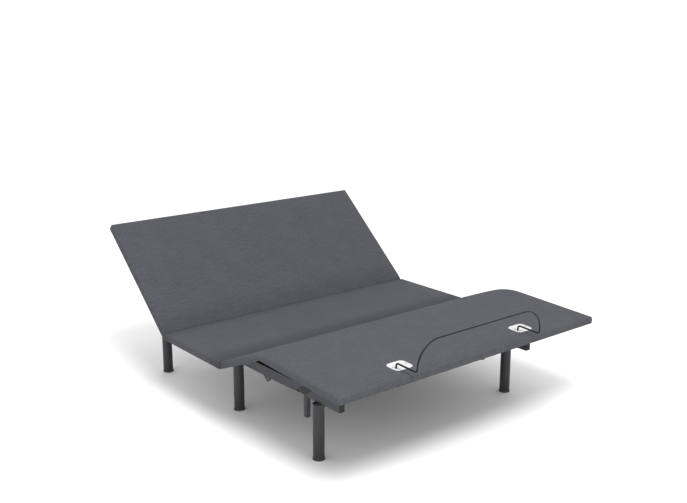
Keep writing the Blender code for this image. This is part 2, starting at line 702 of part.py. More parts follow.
def arm_rest_angle_head(tilt):
    """The head arm's rise at rest, where its roller stands just clear of the head board."""
    down = Vector((0, sin(tilt), -cos(tilt)))
    offset = (Vector((0, HEAD_LIFT_Y, LIFT_Z)) - HEAD_HINGE).dot(down)
    return tilt - asin((HINGE_RISE + ROLLER_RADIUS + HEAD_ROLLER_CLEAR - offset) / HEAD_ARM)


def arm_rest_angle_foot(knee, slope):
    """The foot arm's rise at rest, where its roller stands just clear of the foot board."""
    down = Vector((0, sin(slope), -cos(slope)))
    offset = (Vector((0, FOOT_LIFT_Y, LIFT_Z)) - knee).dot(down)
    return asin((offset - ROLLER_RADIUS - FOOT_ROLLER_CLEAR + KNEE_DROP) / FOOT_ARM) - slope


def centre_on_floor(root):
    """Moves everything along Y so that the origin is under the middle of the base at rest."""
    bpy.context.view_layer.update()
    graph = bpy.context.evaluated_depsgraph_get()
    spots = []
    for piece in bpy.context.scene.objects:
        if piece.type in {"MESH", "CURVE"}:
            view = piece.evaluated_get(graph)
            mesh = view.to_mesh()
            spots += [(view.matrix_world @ v.co).y for v in mesh.vertices]
            view.to_mesh_clear()
    root.location.y = -(min(spots) + max(spots)) / 2
    bpy.context.view_layer.update()


def build_head_half(root):
    for label, side in SIDES.items():
        x = side * RAIL_X
        rail = add_rail(f"head_rail_{label}", root, x, FOLD_Y + FOLD_GAP / 2, HEAD_RAIL_END)
        bore = bmesh.new()
        inner, outer = side * (RAIL_INNER - 0.01), side * (RAIL_X + RAIL_WIDTH / 2 - TUBE_WALL - 0.001)
        add_cylinder(bore, (inner, HEAD_LIFT_Y, LIFT_Z), (outer, HEAD_LIFT_Y, LIFT_Z), STUB_RADIUS + GAP, 16)
        boolean(rail, bore, "DIFFERENCE")
        close_rail_end(rail, x, HEAD_RAIL_END, 1)
        add_fold_plate_head(f"fold_plate_head_{label}", root, side)
        for station in ("head", "middle"):
            y, spread = LEG_STATIONS[station]
            add_leg(f"leg_{station}_{label}", root, side * spread, y)
    add_cross_tube("head_end_tube", root, HEAD_RAIL_END - HEAD_TUBE_INSET)
    add_cross_tube("head_fold_tube", root, LEG_STATIONS["middle"][0], FOLD_PLATE_THICK + GAP)
    add_panel("seat", root, 0.0, SEAT_RUN, DECK_UNDER, THIGH_MAX, HEAD_MAX)
    bm = bmesh.new()
    size = Vector(BOX_SIZE)
    low = Vector((BOX_X - size.x / 2, BOX_Y - size.y / 2, DECK_UNDER - GAP - size.z))
    add_box(bm, low, low + size)
    bevel_edges(bm, list(bm.edges), 0.004, 2)
    finish("control_box", bm, BLACK, root)

    deck = joint_empty("head_tilt_axis", root, HEAD_HINGE, HEAD_ANGLE)
    add_panel("head", deck, 0.0, HEAD_RUN, -HINGE_RISE, HEAD_MAX, 0.0)
    rise = degrees(arm_rest_angle_head(radians(HEAD_ANGLE)))
    frame = joint_empty("head_lift_axis", root, (0, HEAD_LIFT_Y, LIFT_Z), rise)
    swing = HEAD_LIFT_RATIO * HEAD_MAX / 2
    crank_rest = HEAD_LIFT_RATIO * HEAD_ANGLE - swing
    add_lift_tube("head_lift_tube", frame, crank_rest - rise, swing)
    for label, side in SIDES.items():
        add_arm(f"head_lift_arm_{label}", frame, side, HEAD_ARM_X, HEAD_ARM, 1)
        wheel = joint_empty(f"head_roller_axis_{label}", frame, (0, HEAD_ARM, 0))
        add_roller(f"head_roller_{label}", wheel, side * HEAD_ARM_X)
    pin_y = HEAD_LIFT_Y + CRANK_DROP * tan(radians(crank_rest))
    retracted = HEAD_LIFT_Y - CRANK_DROP * tan(radians(swing))
    mouth = retracted - FORK_DEPTH - ROD_HIDDEN
    add_drive("head_motor", root, mouth, 1)
    add_cross_tube("head_motor_tube", root, drive_mount(mouth, 1))
    rod = joint_empty("head_rod_axis", root, (0, pin_y, LIFT_Z - CRANK_DROP))
    add_rod("head_drive_rod", rod, pin_y - mouth + ROD_HIDDEN, 1)


def build_foot_half(root):
    half = joint_empty("fold_axis", root, FOLD_AXIS)
    local = joint_empty("foot_half_frame", half, -FOLD_AXIS)
    for label, side in SIDES.items():
        x = side * RAIL_X
        near, far = NOTCH_START, NOTCH_START - NOTCH_LENGTH
        rail = add_rail(f"foot_rail_{label}", local, x, FOLD_Y - FOLD_GAP / 2, near, 0.0, -NOTCH_SLANT)
        weld_lug(rail, side)
        add_rail(f"foot_rail_nose_{label}", local, x, far, FOOT_RAIL_END, -NOTCH_SLANT, 0.0)
        add_pivot_block(f"foot_pivot_block_{label}", local, side)
        add_rail_cap(f"foot_rail_cap_{label}", local, x, FOOT_RAIL_END, -1)
        add_fold_plate_foot(f"fold_plate_foot_{label}", local, side)
        y, spread = LEG_STATIONS["foot"]
        add_leg(f"leg_foot_{label}", local, side * spread, y)
    add_cross_tube("foot_fold_tube", local, FOOT_FOLD_TUBE_Y)

    thigh = joint_empty("thigh_tilt_axis", local, THIGH_HINGE, -THIGH_ANGLE)
    add_panel("thigh", thigh, -THIGH_RUN, 0.0, -HINGE_RISE, 0.0, THIGH_MAX)
    deck = joint_empty("knee_axis", thigh, KNEE_OFFSET, THIGH_ANGLE + FOOT_SLOPE)
    pad = add_panel("foot", deck, -FOOT_RUN, 0.0, KNEE_DROP, 0.0, 0.0)
    top = KNEE_DROP + PANEL_THICK
    for label, side in SIDES.items():
        boolean(pad, hook_hole(side, top, HOOK_DEPTH + 0.004, 0.010), "DIFFERENCE")
        add_plate(f"retainer_plate_{label}", deck, side, top)
    add_bar("retainer_bar", deck, top)
    add_knee_leaf(thigh, "thigh", KNEE_OFFSET.y, KNEE_OFFSET.z, 1, -LEAF_HALF, -GAP)
    add_knee_leaf(deck, "foot", 0.0, 0.0, -1, GAP, LEAF_HALF)

    bpy.context.view_layer.update()
    knee = local.matrix_world.inverted() @ deck.matrix_world.translation
    rise = degrees(arm_rest_angle_foot(knee, radians(FOOT_SLOPE)))
    frame = joint_empty("foot_lift_axis", local, (0, FOOT_LIFT_Y, LIFT_Z), -rise)
    swing = FOOT_LIFT_RATIO * THIGH_MAX / 2
    crank_rest = swing - FOOT_LIFT_RATIO * THIGH_ANGLE
    add_lift_tube("foot_lift_tube", frame, crank_rest + rise, swing)
    for label, side in SIDES.items():
        add_arm(f"foot_lift_arm_{label}", frame, side, FOOT_ARM_X, FOOT_ARM, -1, rise)
        wheel = joint_empty(f"foot_roller_axis_{label}", frame, (0, -FOOT_ARM, 0))
        add_roller(f"foot_roller_{label}", wheel, side * FOOT_ARM_X)
    pin_y = FOOT_LIFT_Y + CRANK_DROP * tan(radians(crank_rest))
    retracted = FOOT_LIFT_Y + CRANK_DROP * tan(radians(swing))
    mouth = retracted + FORK_DEPTH + ROD_HIDDEN
    add_drive("foot_motor", local, mouth, -1)
    add_cross_tube("foot_motor_tube", local, drive_mount(mouth, -1))
    rod = joint_empty("foot_rod_axis", local, (0, pin_y, LIFT_Z - CRANK_DROP))
    add_rod("foot_drive_rod", rod, mouth - pin_y + ROD_HIDDEN, -1)


def main():
    clear_scene()
    root = joint_empty("base_origin", None, (0, 0, 0))
    build_head_half(root)
    build_foot_half(root)
    centre_on_floor(root)


main()
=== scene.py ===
"""Looks for the adjustable bed base: upholstered covers, finishes, small fittings, floor, light and camera.

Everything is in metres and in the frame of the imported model, with +Y to the head end and +Z up.
"""

import json
from math import atan2, cos, degrees, pi, radians, sin, tan
import bmesh
import bpy
from bpy.props import FloatProperty, FloatVectorProperty, PointerProperty
from bpy.types import Operator, Panel, PropertyGroup
from mathutils import Matrix, Vector, noise


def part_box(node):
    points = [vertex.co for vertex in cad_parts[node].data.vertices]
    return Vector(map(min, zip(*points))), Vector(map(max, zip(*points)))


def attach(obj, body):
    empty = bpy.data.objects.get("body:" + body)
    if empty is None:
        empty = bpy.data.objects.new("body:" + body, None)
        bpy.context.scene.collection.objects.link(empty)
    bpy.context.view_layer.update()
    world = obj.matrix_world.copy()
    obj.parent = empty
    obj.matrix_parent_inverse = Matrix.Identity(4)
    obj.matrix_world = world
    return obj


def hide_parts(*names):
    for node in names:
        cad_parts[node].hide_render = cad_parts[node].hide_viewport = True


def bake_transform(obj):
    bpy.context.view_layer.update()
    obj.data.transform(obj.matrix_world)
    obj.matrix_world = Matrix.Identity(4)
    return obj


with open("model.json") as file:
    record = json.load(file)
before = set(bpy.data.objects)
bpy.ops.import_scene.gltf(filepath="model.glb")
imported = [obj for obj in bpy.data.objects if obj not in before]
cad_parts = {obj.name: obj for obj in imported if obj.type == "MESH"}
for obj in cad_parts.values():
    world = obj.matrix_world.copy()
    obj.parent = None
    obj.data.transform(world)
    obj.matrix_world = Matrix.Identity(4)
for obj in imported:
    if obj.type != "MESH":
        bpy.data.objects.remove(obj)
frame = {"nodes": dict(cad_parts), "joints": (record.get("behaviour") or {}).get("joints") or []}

bl_info = {
    "name": "Adjustable bed base looks",
    "version": (1, 0, 0),
    "blender": (4, 5, 0),
    "location": "View3D > Sidebar > Bed base",
    "description": "Builds the covers, finishes, fittings and stage of an adjustable bed base",
    "category": "Object",
}

JOINTS = {joint["name"]: joint for joint in frame["joints"]}
SIDES = {"left": -1, "right": 1}

BOARD_RECESS = 0.0128  # depth of the hollow that a panel's board fills
COVER_GAP = 0.0004  # gap between two panels' covers under a hinge
FOLD_LEAN = radians(18)  # lean of the covers' ends where the two halves meet
SEAM_DIP = 0.010  # width of the dip in the cover at the head hinge
SEAM_DEPTH = 0.005
CUT_SPACING = 0.045  # spacing of the cuts that let a cover swell
HINGE_CUT_SPACING = 0.006
HINGE_CUT_REACH = 0.055
TUCK_REACH = 0.04
SWELL_REACH = 0.07  # distance from an edge at which the padding is full
LAY_ON = 0.0002  # gap under a fitting that lies on a piece
PLATE_THICK = 0.0031  # retainer plate's top above the foot panel
BAR_RADIUS = 0.004
RAIL_ZONE = 0.53, 0.60  # how far out the rails run, where no staple fits
CAMERA_AIM = Vector((-0.0377, -0.0376, 0.7060))
KEY_LIGHT = Vector((-1.4, -2.5, 4.4))
LIGHT_AIM = Vector((0.0, 0.0, 0.3))


def joint_spot(name):
    return Vector(JOINTS[name]["pos_m"])


def panel_frame(spot, angle):
    """Matrix from a deck panel's flat frame, with its hinge at the origin, to the rest pose."""
    return Matrix.Translation(spot) @ Matrix.Rotation(radians(angle), 4, "X")


SEAT_LOW, SEAT_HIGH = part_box("seat_pad")
HEAD_SPOT, THIGH_SPOT, KNEE_SPOT = (joint_spot(n) for n in ("head_tilt", "thigh_tilt", "knee_turn"))
HEAD_ANGLE = -JOINTS["head_tilt"]["range_deg"][0]
THIGH_ANGLE = JOINTS["thigh_tilt"]["range_deg"][0]
LIFT_AXIS = Vector(JOINTS["bar_lift_out"]["axis"])
FOOT_ANGLE = degrees(atan2(-LIFT_AXIS.y, LIFT_AXIS.z))
THICK = SEAT_HIGH[2] - SEAT_LOW[2]
RISE = HEAD_SPOT.z - SEAT_LOW[2]
HALF_WIDTH = SEAT_HIGH[0]
HEAD_FRAME = panel_frame(HEAD_SPOT, HEAD_ANGLE)
THIGH_FRAME = panel_frame(THIGH_SPOT, THIGH_ANGLE)
FOOT_FRAME = panel_frame(KNEE_SPOT, FOOT_ANGLE)
KNEE_IN_THIGH = THIGH_FRAME.inverted() @ KNEE_SPOT
KNEE_DROP = -RISE - KNEE_IN_THIGH.z
HEAD_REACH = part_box("head_pad")[1][1] - HEAD_SPOT.y - RISE * sin(radians(HEAD_ANGLE))
HEAD_RUN = HEAD_REACH / cos(radians(HEAD_ANGLE))
FOOT_TOP = KNEE_DROP + THICK
FOOT_REACH = KNEE_SPOT.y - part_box("foot_pad")[0][1] - FOOT_TOP * sin(radians(FOOT_ANGLE))
FOOT_RUN = FOOT_REACH / cos(radians(FOOT_ANGLE))


class BaseCover(PropertyGroup):
    colour: FloatVectorProperty(
        name="Cover",
        description="Colour of the woven cover",
        subtype="COLOR",
        default=(0.069, 0.071, 0.082),
    )
    head_corner: FloatProperty(
        name="Head corner",
        description="Radius of the head half's corners in plan",
        default=0.004,
        unit="LENGTH",
    )
    foot_corner: FloatProperty(
        name="Foot corner",
        description="Radius of the foot half's corners in plan",
        default=0.013,
        unit="LENGTH",
    )
    head_roll: FloatProperty(
        name="Head edge roll",
        description="Radius of the head half's rolled top edge",
        default=0.004,
        unit="LENGTH",
    )
    foot_roll: FloatProperty(
        name="Foot edge roll",
        description="Radius of the foot half's rolled top edge",
        default=0.0095,
        unit="LENGTH",
    )
    knee: FloatProperty(
        name="Knee",
        description="How far from the knee its rounding starts",
        default=0.085,
        unit="LENGTH",
    )
    crown: FloatProperty(
        name="Crown",
        description="How far the padding swells between its edges",
        default=0.0022,
        unit="LENGTH",
    )
    tuck: FloatProperty(
        name="Tuck",
        description="How far the cover's underside is drawn up at a hinge",
        default=0.0026,
        unit="LENGTH",
    )
    ripple: FloatProperty(
        name="Ripple",
        description="Unevenness of the padding under the cover",
        default=0.0007,
        unit="LENGTH",
    )
    border: FloatProperty(
        name="Border",
        description="Width of cover folded under each panel",
        default=0.022,
        unit="LENGTH",
    )


class BaseMetal(PropertyGroup):
    colour: FloatVectorProperty(
        name="Frame",
        description="Colour of the powder coat",
        subtype="COLOR",
        default=(0.042, 0.044, 0.052),
    )
    leg_colour: FloatVectorProperty(
        name="Legs",
        description="Colour of the legs' coating",
        subtype="COLOR",
        default=(0.038, 0.038, 0.044),
    )
    bar_colour: FloatVectorProperty(
        name="Bar",
        description="Colour of the retainer bar",
        subtype="COLOR",
        default=(0.005, 0.005, 0.004),
    )


class BasePlastic(PropertyGroup):
    black: FloatVectorProperty(
        name="Black",
        description="Colour of drives and boxes",
        subtype="COLOR",
        default=(0.006, 0.006, 0.006),
    )
    cap: FloatVectorProperty(
        name="Caps",
        description="Colour of the tubes' end caps",
        subtype="COLOR",
        default=(0.036, 0.036, 0.040),
    )
    white: FloatVectorProperty(
        name="White",
        description="Colour of the retainer plates",
        subtype="COLOR",
        default=(0.53, 0.53, 0.53),
    )
    screw_radius: FloatProperty(
        name="Screw", description="Radius of a plate's screw heads", default=0.0045, unit="LENGTH"
    )


class BaseFittings(PropertyGroup):
    colour: FloatVectorProperty(
        name="Fasteners",
        description="Colour of bolts and screws",
        subtype="COLOR",
        default=(0.022, 0.022, 0.023),
    )
    bolt_radius: FloatProperty(
        name="Bolt head", description="Radius of the frame's bolt heads", default=0.0075, unit="LENGTH"
    )
    bolt_height: FloatProperty(
        name="Bolt height",
        description="Height of a bolt head",
        default=0.004,
        unit="LENGTH",
    )
    staple: FloatProperty(
        name="Staple",
        description="Length of a cover's staples",
        default=0.011,
        unit="LENGTH",
    )
    staple_pitch: FloatProperty(
        name="Staple spacing", description="Distance between the staples", default=0.055, unit="LENGTH"
    )
    bead: FloatProperty(
        name="Weld bead",
        description="Width of the weld beads",
        default=0.0035,
        unit="LENGTH",
    )


class BaseStage(PropertyGroup):
    floor: FloatVectorProperty(
        name="Floor", description="Colour of the floor", subtype="COLOR", default=(0.96, 0.96, 0.96)
    )
    sky: FloatProperty(name="Sky", description="Strength of the even light all round", default=1.06)
    azimuth: FloatProperty(
        name="Azimuth",
        description="Camera's turn",
        default=radians(-39.2),
        unit="ROTATION",
    )
    elevation: FloatProperty(
        name="Elevation",
        description="Camera's height",
        default=radians(14.27),
        unit="ROTATION",
    )
    distance: FloatProperty(
        name="Distance",
        description="Camera to its aim",
        default=4.470,
        unit="LENGTH",
    )
    lens: FloatProperty(name="Lens", description="Focal length", default=49.6, unit="CAMERA")


def opaque(colour):
    return (*colour, 1.0)


# Materials


class Nodes:
    """Small helper that adds and links shader nodes."""

    def __init__(self, name):
        self.material = bpy.data.materials.new(name)
        self.material.use_nodes = True
        self.tree = self.material.node_tree
        self.shader = self.tree.nodes["Principled BSDF"]
        self.coords = self.tree.nodes.new("ShaderNodeTexCoord")

    def add(self, kind, links=None, **values):
        node = self.tree.nodes.new(kind)
        for key, value in values.items():
            setattr(node, key, value)
        for socket, source in (links or {}).items():
            if isinstance(source, bpy.types.NodeSocket):
                self.tree.links.new(source, node.inputs[socket])
            else:
                node.inputs[socket].default_value = source
        return node

    def noise(self, vector, scale, detail=3.0, roughness=0.55):
        made = self.add("ShaderNodeTexNoise", {"Vector": vector, "Scale": scale, "Detail": detail})
        made.inputs["Roughness"].default_value = roughness
        return made.outputs["Fac"]

    def ramp(self, source, low, high, first, last):
        made = self.add("ShaderNodeValToRGB", {"Fac": source})
        made.color_ramp.elements[0].position, made.color_ramp.elements[1].position = low, high
        made.color_ramp.elements[0].color, made.color_ramp.elements[1].color = opaque(first), opaque(last)
        return made.outputs["Color"]

    def math(self, operation, one, two=0.0):
        return self.add("ShaderNodeMath", {0: one, 1: two}, operation=operation).outputs["Value"]

    def near(self, source, place, reach, amount):
        """Amount where source is at place, easing to nothing at reach on both sides."""
        away = self.math("ABSOLUTE", self.math("SUBTRACT", source, place))
        ease = {"Value": away, "From Min": 0.0, "From Max": reach, "To Min": amount, "To Max": 0.0}
        return self.add("ShaderNodeMapRange", ease, interpolation_type="SMOOTHSTEP").outputs["Result"]

    def bump(self, height, distance, strength=1.0, under=None):
        made = self.add("ShaderNodeBump", {"Height": height, "Distance": distance, "Strength": strength})
        if under is not None:
            self.tree.links.new(under, made.inputs["Normal"])
        return made.outputs["Normal"]

    def to(self, socket, source):
        self.tree.links.new(source, self.shader.inputs[socket])

    def set(self, **values):
        for socket, value in values.items():
            self.shader.inputs[socket.replace("_", " ")].default_value = value


def scaled(colour, factor):
    return tuple(c * factor for c in colour)


def woven_cover(name, colour):
    """Flat woven polyester: crossed threads, drawn slubs, uneven dye, and painted shade at the folds."""
    n = Nodes(name)
    uv = n.coords.outputs["UV"]
    weave = []
    for direction in ("X", "Y"):
        wave = n.add("ShaderNodeTexWave", {"Vector": uv, "Scale": 340.0, "Distortion": 1.2, "Detail": 1.0})
        wave.bands_direction = direction
        weave.append(wave.outputs["Fac"])
    threads = n.math("MULTIPLY", weave[0], weave[1])
    fleck = n.noise(uv, 420.0, 2.0, 0.7)
    cloud = n.noise(uv, 7.0, 4.0, 0.6)
    grain = n.noise(uv, 95.0, 3.0, 0.65)
    drawn = n.add("ShaderNodeMapping", {"Vector": uv, "Scale": (13.0, 170.0, 1.0)}).outputs["Vector"]
    slub = n.noise(drawn, 1.0, 3.0, 0.6)
    mixed = n.math("MULTIPLY", threads, 0.18)
    for part, share in ((fleck, 0.26), (grain, 0.34), (slub, 0.27), (cloud, 0.12)):
        mixed = n.math("ADD", mixed, n.math("MULTIPLY", part, share))
    cloth = n.ramp(mixed, 0.38, 0.74, scaled(colour, 0.66), scaled(colour, 1.38))
    # Painted shade: the cloth is darkened near the head hinge and near the seam between seat and thigh,
    # behind the knee, where the folds shade it.
    along = n.add("ShaderNodeSeparateXYZ", {"Vector": n.coords.outputs["Object"]}).outputs["Y"]
    at_head, at_fold = n.near(along, HEAD_SPOT.y, 0.10, 0.16), n.near(along, SEAT_LOW[1] + 0.02, 0.12, 0.30)
    kept = n.math("SUBTRACT", 1.0, n.math("ADD", at_head, at_fold))
    fold_shaded_cloth = n.add("ShaderNodeVectorMath", {0: cloth, "Scale": kept}, operation="SCALE")
    n.to("Base Color", fold_shaded_cloth.outputs["Vector"])
    n.to("Roughness", n.ramp(fleck, 0.2, 0.8, (0.86, 0.86, 0.86), (0.96, 0.96, 0.96)))
    fine = n.bump(threads, 0.0004, 0.6)
    n.to("Normal", n.bump(grain, 0.0005, 0.35, fine))
    n.set(Sheen_Weight=0.03, Sheen_Roughness=0.6, Specular_IOR_Level=0.08)
    return n.material


def powder_coat(name, colour, roughness=0.50, metallic=0.0):
    """Fine orange-peel powder coat with faint handling marks."""
    n = Nodes(name)
    spot = n.coords.outputs["Object"]
    peel = n.noise(spot, 900.0, 2.0)
    cloud = n.noise(spot, 14.0, 4.0, 0.6)
    n.to("Base Color", n.ramp(cloud, 0.3, 0.7, scaled(colour, 0.90), scaled(colour, 1.10)))
    n.to("Roughness", n.ramp(cloud, 0.25, 0.75, (roughness - 0.06,) * 3, (roughness + 0.08,) * 3))
    n.to("Normal", n.bump(peel, 0.00012, 0.5))
    n.set(Metallic=metallic, Specular_IOR_Level=0.30)
    return n.material


def moulded(name, colour, roughness=0.58, grain=1400.0):
    n = Nodes(name)
    spot = n.coords.outputs["Object"]
    fine = n.noise(spot, grain, 2.0)
    cloud = n.noise(spot, 30.0, 3.0)
    n.to("Base Color", n.ramp(cloud, 0.3, 0.7, scaled(colour, 0.94), scaled(colour, 1.05)))
    n.to("Roughness", n.ramp(fine, 0.2, 0.8, (roughness - 0.05,) * 3, (roughness + 0.08,) * 3))
    n.to("Normal", n.bump(fine, 0.0001, 0.4))
    n.set(Specular_IOR_Level=0.08)
    return n.material


def board_cloth(name):
    """Thin black non-woven cloth over the boards."""
    n = Nodes(name)
    spot = n.coords.outputs["Object"]
    fibres = n.add("ShaderNodeTexVoronoi", {"Vector": spot, "Scale": 320.0}).outputs["Distance"]
    cloud = n.noise(spot, 9.0, 5.0, 0.7)
    mixed = n.math("ADD", n.math("MULTIPLY", fibres, 0.5), n.math("MULTIPLY", cloud, 0.6))
    n.to("Base Color", n.ramp(mixed, 0.2, 0.8, (0.020, 0.020, 0.021), (0.045, 0.045, 0.048)))
    n.to("Normal", n.bump(fibres, 0.0003, 0.5))
    n.set(Roughness=0.95)
    return n.material


def turned_steel(name):
    n = Nodes(name)
    spot = n.coords.outputs["Object"]
    stretched = n.add("ShaderNodeMapping", {"Vector": spot, "Scale": (900.0, 6.0, 900.0)})
    marks = n.noise(stretched.outputs["Vector"], 1.0, 3.0)
    n.to("Base Color", n.ramp(marks, 0.3, 0.7, (0.46, 0.47, 0.48), (0.62, 0.63, 0.64)))
    n.to("Roughness", n.ramp(marks, 0.2, 0.8, (0.22, 0.22, 0.22), (0.38, 0.38, 0.38)))
    n.set(Metallic=1.0)
    return n.material


def get_material(name, build):
    return bpy.data.materials.get(name) or build()


def cover_material():
    look = bpy.context.scene.base_cover
    return get_material("slate_weave", lambda: woven_cover("slate_weave", look.colour))


def frame_material():
    look = bpy.context.scene.base_metal
    return get_material("frame_coat", lambda: powder_coat("frame_coat", look.colour))


def leg_material():
    look = bpy.context.scene.base_metal
    return get_material("leg_coat", lambda: powder_coat("leg_coat", look.leg_colour, 0.38, 0.25))


def black_material():
    look = bpy.context.scene.base_plastic
    return get_material("black_plastic", lambda: moulded("black_plastic", look.black))


def cap_material():
    look = bpy.context.scene.base_plastic
    return get_material("cap_plastic", lambda: moulded("cap_plastic", look.cap))


def white_material():
    look = bpy.context.scene.base_plastic
    return get_material("white_plastic", lambda: moulded("white_plastic", look.white, 0.35))


def steel_material():
    return get_material("turned_steel", lambda: turned_steel("turned_steel"))


# Shared mesh helpers


def new_piece(name, bm, material, smooth_angle=40.0):
    """Object from a bmesh, at the origin, with soft shading between nearly flat faces."""
    bmesh.ops.recalc_face_normals(bm, faces=bm.faces)
    mesh = bpy.data.meshes.new(name)
    bm.to_mesh(mesh)
    bm.free()
    mesh.shade_smooth()
    mesh.set_sharp_from_angle(angle=radians(smooth_angle))
    mesh.materials.append(material)
    piece = bpy.data.objects.new(name, mesh)
    bpy.context.collection.objects.link(piece)
    return piece


def bevel(bm, edges, offset, segments):
    shape = {"affect": "EDGES", "profile": 0.5, "material": -1, "clamp_overlap": True}
    return bmesh.ops.bevel(bm, geom=edges, offset=offset, segments=segments, **shape)


def cut_across(bm, axis, places):
    """Cuts the whole mesh at each place along an axis, so that it can swell there."""
    for place in places:
        geometry = list(bm.verts) + list(bm.edges) + list(bm.faces)
        spot = Vector([place if a == axis else 0.0 for a in range(3)])
        normal = Vector([1.0 if a == axis else 0.0 for a in range(3)])
        bmesh.ops.bisect_plane(bm, geom=geometry, dist=1e-5, plane_co=spot, plane_no=normal)


def steps(start, end, size):
    count = max(1, round((end - start) / size))
    return [start + (end - start) * i / count for i in range(1, count)]


# Covers


class Cover:
    """One continuous cover over two deck panels: near and far are matrices to their flat frames."""

    def __init__(self, name, outline, near, far, hinge, far_side, corner, roll):
        self.name, self.outline, self.near, self.far = name, outline, near, far
        self.hinge, self.far_side, self.corner, self.roll = hinge, far_side, corner, roll

    def is_far(self, spot):
        return (spot.y - self.hinge.y) * self.far_side > 0

    def up(self, spot):
        return (self.far if self.is_far(spot) else self.near).to_3x3() @ Vector((0, 0, 1))

    def facing(self, face):
        """1 where the face looks straight out of its panel's top, -1 where it looks out of the underside."""
        return face.normal.dot(self.up(face.calc_center_median()))

    def is_under(self, face):
        """The large flat face under a panel."""
        return self.facing(face) < -0.95 and face.calc_area() > 0.1


def push_face(bm, face, shift):
    """Extrudes one face, moves the new end by shift and removes the old one."""
    pushed = bmesh.ops.extrude_face_region(bm, geom=[face])["geom"]
    bmesh.ops.delete(bm, geom=[face], context="FACES_ONLY")
    moved = [v for v in pushed if isinstance(v, bmesh.types.BMVert)]
    bmesh.ops.translate(bm, verts=moved, vec=shift)


def cover_mesh(cover, look):
    """Extrudes the cover's side outline, rounds it, and lets the boards' recesses into its underside."""
    bm = bmesh.new()
    ring = [bm.verts.new((-HALF_WIDTH, spot.y, spot.z)) for spot in cover.outline]
    face = bm.faces.new(ring)
    moved = bmesh.ops.extrude_face_region(bm, geom=[face])["geom"]
    rising = [v for v in moved if isinstance(v, bmesh.types.BMVert)]
    bmesh.ops.translate(bm, verts=rising, vec=(2 * HALF_WIDTH, 0, 0))
    bmesh.ops.recalc_face_normals(bm, faces=bm.faces)
    bevel(bm, [e for e in bm.edges if is_corner(e, cover)], cover.corner, 5)
    bmesh.ops.recalc_face_normals(bm, faces=bm.faces)
    bevel(bm, [e for e in bm.edges if is_rim(e, cover, True)], cover.roll, 4)
    bevel(bm, [e for e in bm.edges if is_rim(e, cover, False)], cover.roll / 2, 3)
    inset = look.border - cover.roll / 2
    for under in [f for f in bm.faces if cover.is_under(f)]:
        rise = cover.up(under.calc_center_median()) * BOARD_RECESS
        bmesh.ops.inset_region(bm, faces=[under], thickness=inset, use_even_offset=True)
        push_face(bm, under, rise)
    return bm


def is_corner(edge, cover):
    """Short upright edges at the four outer corners."""
    one, two = edge.verts[0].co, edge.verts[1].co
    if abs(one.x - two.x) > 1e-6 or (two - one).length > 1.5 * THICK:
        return False
    along = cover.up((one + two) / 2).dot((two - one).normalized())
    return abs(along) > 0.5


def is_rim(edge, cover, top):
    """Edges where a panel's top or underside turns over into its sides."""
    if len(edge.link_faces) != 2:
        return False
    flats = 0
    for face in edge.link_faces:
        flats += cover.facing(face) > 0.6 if top else cover.facing(face) < -0.6
    return flats == 1


def swell(bm, cover, look, ends):
    """Crowns the padding between the cover's edges, unevenly, and draws up its underside at the hinge."""
    bm.normal_update()
    shifts = {}
    for vert in bm.verts:
        up = cover.up(vert.co)
        from_hinge = abs(vert.co.y - cover.hinge.y)
        near_hinge = 1 - from_hinge / TUCK_REACH
        if vert.normal.dot(up) < -0.5 and near_hinge > 0:
            shifts[vert] = up * near_hinge * look.tuck
        if vert.normal.dot(up) < 0.9:
            continue
        edge = HALF_WIDTH - abs(vert.co.x)
        along = min(from_hinge + 0.01, *(abs(vert.co.y - end) for end in ends))
        full = min(1.0, edge / SWELL_REACH) * min(1.0, along / SWELL_REACH)
        full = full * full * (3 - 2 * full)
        wave = noise.noise(vert.co * 5.5) + 0.4 * noise.noise(vert.co * 17.0)
        shifts[vert] = up * full * (look.crown + look.ripple * wave)
    for vert, shift in shifts.items():
        vert.co += shift


def lay_threads(piece, cover):
    """Gives the cover a UV map in metres that follows it along and over its edges."""
    mesh = piece.data
    layer = mesh.uv_layers.new(name="threads")
    near, far = cover.near.inverted(), cover.far.inverted()
    spots = [(far if cover.is_far(vert.co) else near) @ vert.co for vert in mesh.vertices]
    for loop in mesh.loops:
        local = spots[loop.vertex_index]
        drop = -local.z
        side = 1 if local.x > 0 else -1
        over = drop if abs(local.x) > HALF_WIDTH - 0.004 else 0.0
        layer.data[loop.index].uv = (local.x + side * over, local.y + (0 if over else drop * 0.2))


def finish_cover(cover, look, nodes, ends):
    """Cuts and swells the cover between its two ends, then hides the nodes it stands in for."""
    bm = cover_mesh(cover, look)
    low, high = sorted(ends)
    hinge = cover.hinge.y
    cut_across(bm, 0, steps(-HALF_WIDTH + 0.02, HALF_WIDTH - 0.02, CUT_SPACING))
    cut_across(bm, 1, steps(low + 0.02, high - 0.02, CUT_SPACING))
    cut_across(bm, 1, steps(hinge - HINGE_CUT_REACH, hinge + HINGE_CUT_REACH, HINGE_CUT_SPACING))
    swell(bm, cover, look, ends)
    bmesh.ops.triangulate(bm, faces=[f for f in bm.faces if len(f.verts) > 4])
    piece = new_piece(cover.name, bm, cover_material(), 50.0)
    lay_threads(piece, cover)
    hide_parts(*nodes)
    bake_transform(piece)


